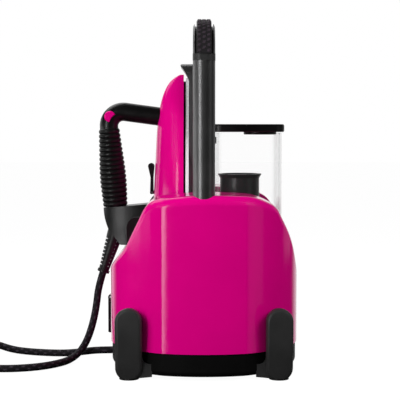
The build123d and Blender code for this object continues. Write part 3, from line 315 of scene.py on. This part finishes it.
def brushed(name, colour, stretch=ALONG_Z, gloss=(0.22, 0.36), metal=1.0):
    """A metal with fine lines along Z, or cast with even lumps."""
    made = finish_of(name, colour, gloss[0], Metallic=metal)
    uneven_gloss(made, 600.0, gloss, stretch)
    two_tone(made, 500.0, shade(colour, 0.95), colour, stretch)
    grain(made, 900.0, 0.00001, strength=0.2, stretch=stretch)
    return made


def clear_plastic():
    """Hardly seen face on, and denser where a wall is seen along its depth."""
    made = finish_of("clear_plastic", CLEAR_TINT, 0.03, Alpha=CLEAR_ALPHA)
    uneven_gloss(made, 30.0, (0.02, 0.05))
    tree = made.node_tree
    slope = tree.nodes.new("ShaderNodeLayerWeight")
    bend = reckon(tree, "POWER", slope.outputs["Facing"], CLEAR_BEND)
    feed(tree, carry_over(tree, bend, WHOLE, CLEAR_DENSITY), shader_of(made).inputs["Alpha"])
    return made


def hose_braid():
    """Two sets of strands crossing round the hose, read from its own length and turn."""
    made = finish_of("hose_braid", HOSE_BLACK, 0.62, Specular_IOR_Level=0.25)
    tree = made.node_tree
    split = tree.nodes.new("ShaderNodeSeparateXYZ")
    feed(tree, mapped(tree, "UV", (BRAID_ALONG, BRAID_AROUND, 1.0)), split.inputs["Vector"])
    strands = []
    for winding in ("ADD", "SUBTRACT"):
        turn = reckon(tree, winding, split.outputs["X"], split.outputs["Y"])
        strands.append(reckon(tree, "PINGPONG", turn, 1.0))
    crossing = reckon(tree, "MULTIPLY", *strands)
    tones = colour_ramp(tree, crossing, BRAID_EDGES, (HOSE_BLACK, HOSE_PLUM))
    feed(tree, tones, shader_of(made).inputs["Base Color"])
    feed(tree, raised(tree, crossing, BRAID_DEPTH, BRAID_STRENGTH), shader_of(made).inputs["Normal"])
    return made


finishes = {
    "pink_gloss": pink_gloss(),
    "black_plastic": moulded("black_plastic", BLACK, (0.3, 0.4), 700.0, 0.00005),
    "anthracite": moulded("anthracite", ANTHRACITE, (0.38, 0.42), 2500.0, 0.000006, Metallic=0.95),
    "bumper_black": moulded("bumper_black", BUMPER_BLACK, (0.4, 0.5), 800.0, 0.00006),
    "inlay_soft": moulded("inlay_soft", INLAY_BLACK, (0.5, 0.65), 900.0, 0.00006, Specular_IOR_Level=0.25),
    "pad_plum": moulded("pad_plum", PAD_PLUM, (0.45, 0.55), 900.0, 0.00004, Specular_IOR_Level=0.3),
    "soft_rubber": moulded("soft_rubber", RUBBER_BLACK, (0.38, 0.48), 800.0, 0.00006),
    "pan_black": moulded("pan_black", BLACK, (0.55, 0.65), 700.0, 0.00005, Specular_IOR_Level=0.08),
    "clear_tank": clear_plastic(),
    "filter_grey": moulded("filter_grey", FILTER_GREY, (0.28, 0.36), 700.0, 0.00002),
    "sole_steel": brushed("sole_steel", SOLE_SILVER, gloss=(0.2, 0.3), metal=0.15),
    "steel": brushed("steel", STEEL_GREY),
    "brass": brushed("brass", BRASS_YELLOW, stretch=ALIKE),
    "board_green": moulded("board_green", BOARD_GREEN, (0.25, 0.35), 500.0, 0.00005),
    "hose_braid": hose_braid(),
}


def dress(part, finish):
    """A part's own triangles joined and shaded smooth up to its corners, and its finish."""
    part.data.shade_smooth()
    join = part.modifiers.new("join", "WELD")
    join.merge_threshold = JOIN_REACH
    corners = part.modifiers.new("corners", "EDGE_SPLIT")
    corners.split_angle = CORNER_ANGLE
    even = part.modifiers.new("even", "WEIGHTED_NORMAL")
    even.keep_sharp = True
    part.data.materials.clear()
    part.data.materials.append(finish)


def dress_parts():
    """Every part takes the finish of its slot in the record, or its own."""
    for part in frame["record"]["subparts"]:
        name = part["node"]
        finish = OWN_FINISH.get(name, part["material_slot"])
        dress(frame["nodes"][name], finishes[finish])


def coil_points():
    """The put-away length: a spiral in and out again, climbing one layer where it turns back."""
    points = []
    count = round(COIL_TURNS * COIL_POINTS_PER_TURN)
    for step in range(count + 1):
        turn = COIL_TURNS * step / count
        radius = COIL_RADIUS - COIL_PITCH * min(turn, COIL_TURNS - turn)
        angle = -math.pi / 2 - 2 * math.pi * turn
        climb = min(max((turn - COIL_CLIMB_FROM) / COIL_CLIMB_TURNS, 0.0), 1.0)
        height = COIL_LOW + COIL_RISE * climb * climb * (3 - 2 * climb)
        east = COIL_CENTRE[0] + radius * math.cos(angle)
        north = COIL_CENTRE[1] + radius * math.sin(angle)
        points.append((east, north, height))
    return points


def hose_mesh(radius):
    """One smooth line from the iron to the base, with the coil in it: a bare line, or a tube."""
    route = HOSE_FROM_IRON + coil_points() + HOSE_TO_BASE
    line = bpy.data.curves.new("hose_line", "CURVE")
    line.dimensions = "3D"
    spline = line.splines.new("NURBS")
    spline.points.add(len(route) - 1)
    for point, place in zip(spline.points, route):
        point.co = (*place, 1.0)
    spline.order_u = 3
    spline.use_endpoint_u = True
    line.resolution_u = HOSE_STEPS
    line.bevel_depth = radius
    line.bevel_resolution = HOSE_ROUNDNESS
    carrier = bpy.data.objects.new("hose_line", line)
    made = bpy.data.meshes.new_from_object(carrier)
    bpy.data.objects.remove(carrier)
    return made


def steam_hose(strap):
    """A braided tube from the iron's strain relief down to the floor, through the coil and on to the gland
    in the base.
    """
    path = [tuple(point.co) for point in hose_mesh(0.0).vertices]
    tube = hose_mesh(HOSE_DIAMETER / 2)
    tube.name = "steam_hose"
    tube.materials.append(finishes["hose_braid"])
    hose = bpy.data.objects.new("steam_hose", tube)
    scene.collection.objects.link(hose)
    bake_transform(hose)
    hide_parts("steam_hose_iron_run", "hose_coil", "steam_hose_base_run")


def new_piece(name, shape, finish, body):
    """A finished piece from a bmesh, riding on a body."""
    mesh = bpy.data.meshes.new(name)
    bmesh.ops.recalc_face_normals(shape, faces=shape.faces)
    shape.to_mesh(mesh)
    shape.free()
    mesh.materials.append(finish)
    piece = bpy.data.objects.new(name, mesh)
    scene.collection.objects.link(piece)
    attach(piece, body)
    return piece


def strap_round_coil():
    """A rubber strap, rounded at its corners, where the coil's turns lie side by side."""
    low, high = (Vector(corner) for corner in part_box("hose_tie"))
    middle = (low + high) / 2
    reach = high - low
    shape = bmesh.new()
    ring = bmesh.ops.create_circle(shape, cap_ends=True, segments=4, radius=math.sqrt(0.5))
    turn = Matrix.Rotation(math.pi / 4, 4, "Z")
    size = Matrix.Diagonal((reach.x, reach.z, 1.0, 1.0))
    upright = Matrix.Translation((middle.x, low.y, middle.z)) @ Matrix.Rotation(math.pi / 2, 4, "X")
    bmesh.ops.transform(shape, matrix=upright @ size @ turn, verts=ring["verts"])
    bmesh.ops.bevel(
        shape,
        geom=shape.verts[:],
        offset=STRAP_CORNER,
        segments=STRAP_CORNER_STEPS,
        profile=0.5,
        affect="VERTICES",
        material=-1,
    )
    bmesh.ops.delete(shape, geom=shape.faces[:], context="FACES_ONLY")
    wall = bmesh.ops.extrude_edge_only(shape, edges=shape.edges[:])
    far_side = [part for part in wall["geom"] if isinstance(part, bmesh.types.BMVert)]
    bmesh.ops.translate(shape, vec=(0.0, reach.y, 0.0), verts=far_side)
    bmesh.ops.recalc_face_normals(shape, faces=shape.faces)
    bmesh.ops.solidify(shape, geom=shape.faces[:], thickness=STRAP_WALL)
    strap = new_piece("coil_strap", shape, finishes["soft_rubber"], "base")
    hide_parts("hose_tie")
    return strap


def inlay_bow():
    """The inlay from the side: where its far corner turns, the slope at its end, an arc and the straight."""
    low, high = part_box("grip_inlay")
    corner_y = high[1] - BOW_CORNER
    corner_z = high[2] - BOW_CORNER
    start = math.asin((low[2] - corner_z) / BOW_CORNER)
    arc = BOW_CORNER * (math.pi / 2 - start)
    return corner_y, corner_z, start, arc, 2 * corner_y


def on_the_bow(along):
    """The inlay's middle after some length from its front end, as a place square to the inlay there."""
    low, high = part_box("grip_inlay")
    corner_y, corner_z, start, arc, straight = inlay_bow()
    run = min(max(along - arc, 0.0), straight)
    angle = start + (along - run) / BOW_CORNER
    y = run - corner_y - BOW_CORNER * math.cos(angle)
    z = corner_z + BOW_CORNER * math.sin(angle)
    middle_x = (low[0] + high[0]) / 2
    return Matrix.Translation((middle_x, y, z)) @ Matrix.Rotation(math.pi / 2 - angle, 4, "X")


def inlay_pads():
    """Slanted lozenges in three columns along the inlay, the middle column half a step on."""
    _, _, _, arc, straight = inlay_bow()
    count = int((2 * arc + straight) / PAD_PITCH)
    slant = Matrix.Identity(4)
    slant[0][1] = PAD_SLANT
    size = Matrix.Diagonal((PAD_WIDTH, PAD_LENGTH, PAD_HEIGHT, 1.0))
    shape = bmesh.new()
    for column in (-1, 0, 1):
        shift = 0.5 if column else 1.0
        aside = Matrix.Translation((column * PAD_COLUMN, 0.0, -PAD_SINK))
        for row in range(count):
            stand = on_the_bow((row + shift) * PAD_PITCH) @ aside
            bmesh.ops.create_cube(shape, size=1.0, matrix=stand @ slant @ size)
    bmesh.ops.bevel(
        shape,
        geom=shape.edges[:],
        offset=PAD_EDGE,
        segments=PAD_EDGE_STEPS,
        profile=0.5,
        affect="EDGES",
        material=-1,
    )
    new_piece("inlay_pads", shape, finishes["pad_plum"], "base")


def seen_by_the_lens(tree, path):
    """One where the camera looks straight or through clear plastic, nought for light that bounces."""
    return reckon(tree, "MAXIMUM", path.outputs["Is Camera Ray"], path.outputs["Is Transmission Ray"])


def matt(tree, colour):
    """Plain paper of one colour."""
    made = tree.nodes.new("ShaderNodeBsdfDiffuse")
    made.inputs["Color"].default_value = (*colour, 1.0)
    return made.outputs["BSDF"]


def mixed(tree, share, first, second):
    """Two surfaces in one, with so large a share of the second."""
    made = tree.nodes.new("ShaderNodeMixShader")
    feed(tree, share, made.inputs["Fac"])
    feed(tree, first, made.inputs[1])
    feed(tree, second, made.inputs[2])
    return made.outputs["Shader"]


def floor_paper():
    """White to the lens, with a faint shadow, and dim to the light that bounces off it."""
    made = bpy.data.materials.new("floor_paper")
    made.use_nodes = True
    tree = made.node_tree
    tree.nodes.remove(shader_of(made))
    path = tree.nodes.new("ShaderNodeLightPath")
    glow = tree.nodes.new("ShaderNodeEmission")
    glow.inputs["Strength"].default_value = FLOOR_GLOW
    lit = mixed(tree, FLOOR_GLOW_SHARE, matt(tree, FLOOR_WHITE), glow.outputs["Emission"])
    paper = mixed(tree, seen_by_the_lens(tree, path), matt(tree, FLOOR_GREY), lit)
    feed(tree, paper, tree.nodes["Material Output"].inputs["Surface"])
    return made


def floor():
    """A sheet of paper that gloss doesn't mirror."""
    mesh = bpy.data.meshes.new("floor")
    shape = bmesh.new()
    bmesh.ops.create_grid(shape, x_segments=1, y_segments=1, size=FLOOR_HALF)
    shape.to_mesh(mesh)
    shape.free()
    mesh.materials.append(floor_paper())
    made = bpy.data.objects.new("floor", mesh)
    scene.collection.objects.link(made)
    made.visible_glossy = False


def studio_world():
    """White to the lens, a plain fill for matt surfaces; gloss mirrors the backdrop and a dark room."""
    world = bpy.data.worlds.new("studio")
    scene.world = world
    world.use_nodes = True
    tree = world.node_tree
    back = tree.nodes["Background"]
    back.inputs["Color"].default_value = (1.0, 1.0, 1.0, 1.0)
    path = tree.nodes.new("ShaderNodeLightPath")
    direction = tree.nodes.new("ShaderNodeTexCoord")
    split = tree.nodes.new("ShaderNodeSeparateXYZ")
    feed(tree, direction.outputs["Generated"], split.inputs["Vector"])
    backdrop = carry_over(tree, split.outputs["Y"], BACKDROP_EDGES, (ROOM_DARK, BACKDROP_WHITE))
    unseen = carry_over(tree, path.outputs["Is Glossy Ray"], WHOLE, (WORLD_FILL, backdrop))
    level = carry_over(tree, seen_by_the_lens(tree, path), WHOLE, (unseen, WORLD_WHITE))
    feed(tree, level, back.inputs["Strength"])


def softbox(name, place, target, size, brightness, mirrored=True):
    """A flat lamp; brightness is what a mirror would show of it, where white paper is about one."""
    width, height = size
    light = bpy.data.lights.new(name, "AREA")
    light.shape = "RECTANGLE"
    light.size = width
    light.size_y = height
    light.energy = math.pi * width * height * brightness
    lamp = bpy.data.objects.new(name, light)
    scene.collection.objects.link(lamp)
    lamp.location = place
    lamp.rotation_euler = (Vector(target) - Vector(place)).to_track_quat("-Z", "Y").to_euler()
    lamp.visible_glossy = mirrored


def lamps():
    """Boxes that gloss mirrors as pale bands, and two large ones that only light the colours."""
    softbox("left_box", (-1.1, 0.62, 0.34), (-0.05, 0.0, 0.2), size=(0.6, 0.52), brightness=1.2)
    softbox("flank_box", (-1.25, 0.0, 0.15), (-0.05, 0.0, 0.15), size=(0.55, 0.22), brightness=2.4)
    softbox("flank_wing", (-1.15, -0.42, 0.15), (-0.05, -0.05, 0.15), size=(0.35, 0.22), brightness=0.7)
    unmirrored = {"size": (0.7, 0.7), "mirrored": False}
    softbox("key_box", (-0.85, -0.85, 0.72), (0.0, 0.0, 0.2), brightness=7.5, **unmirrored)
    softbox("top_box", (0.9, -0.6, 0.85), (0.05, -0.1, 0.2), brightness=5.5, **unmirrored)
    softbox("hood_box", (-0.45, 0.5, 1.0), (0.0, 0.0, 0.25), size=(1.0, 0.6), brightness=2.0)
    softbox("sheen_box", (-0.82, -1.2, 0.15), (0.0, -0.1, 0.15), size=(0.22, 1.1), brightness=8.0)
    softbox("right_strip", (1.16, -0.66, 0.2), (0.05, -0.1, 0.2), size=(0.45, 1.2), brightness=0.25)
    softbox("right_box", (1.1, 0.55, 0.35), (0.05, 0.0, 0.2), size=(0.4, 0.7), brightness=0.35)


def camera():
    """The photograph's viewpoint."""
    made = bpy.data.cameras.new("camera")
    made.lens = CAMERA_LENS
    made.sensor_width = SENSOR
    eye = bpy.data.objects.new("camera", made)
    scene.collection.objects.link(eye)
    eye.location = CAMERA_PLACE
    eye.rotation_euler = (math.pi / 2 - CAMERA_TILT, 0.0, 0.0)
    scene.camera = eye


camera()
floor()
studio_world()
lamps()
steam_hose(strap_round_coil())
inlay_pads()
dress_parts()
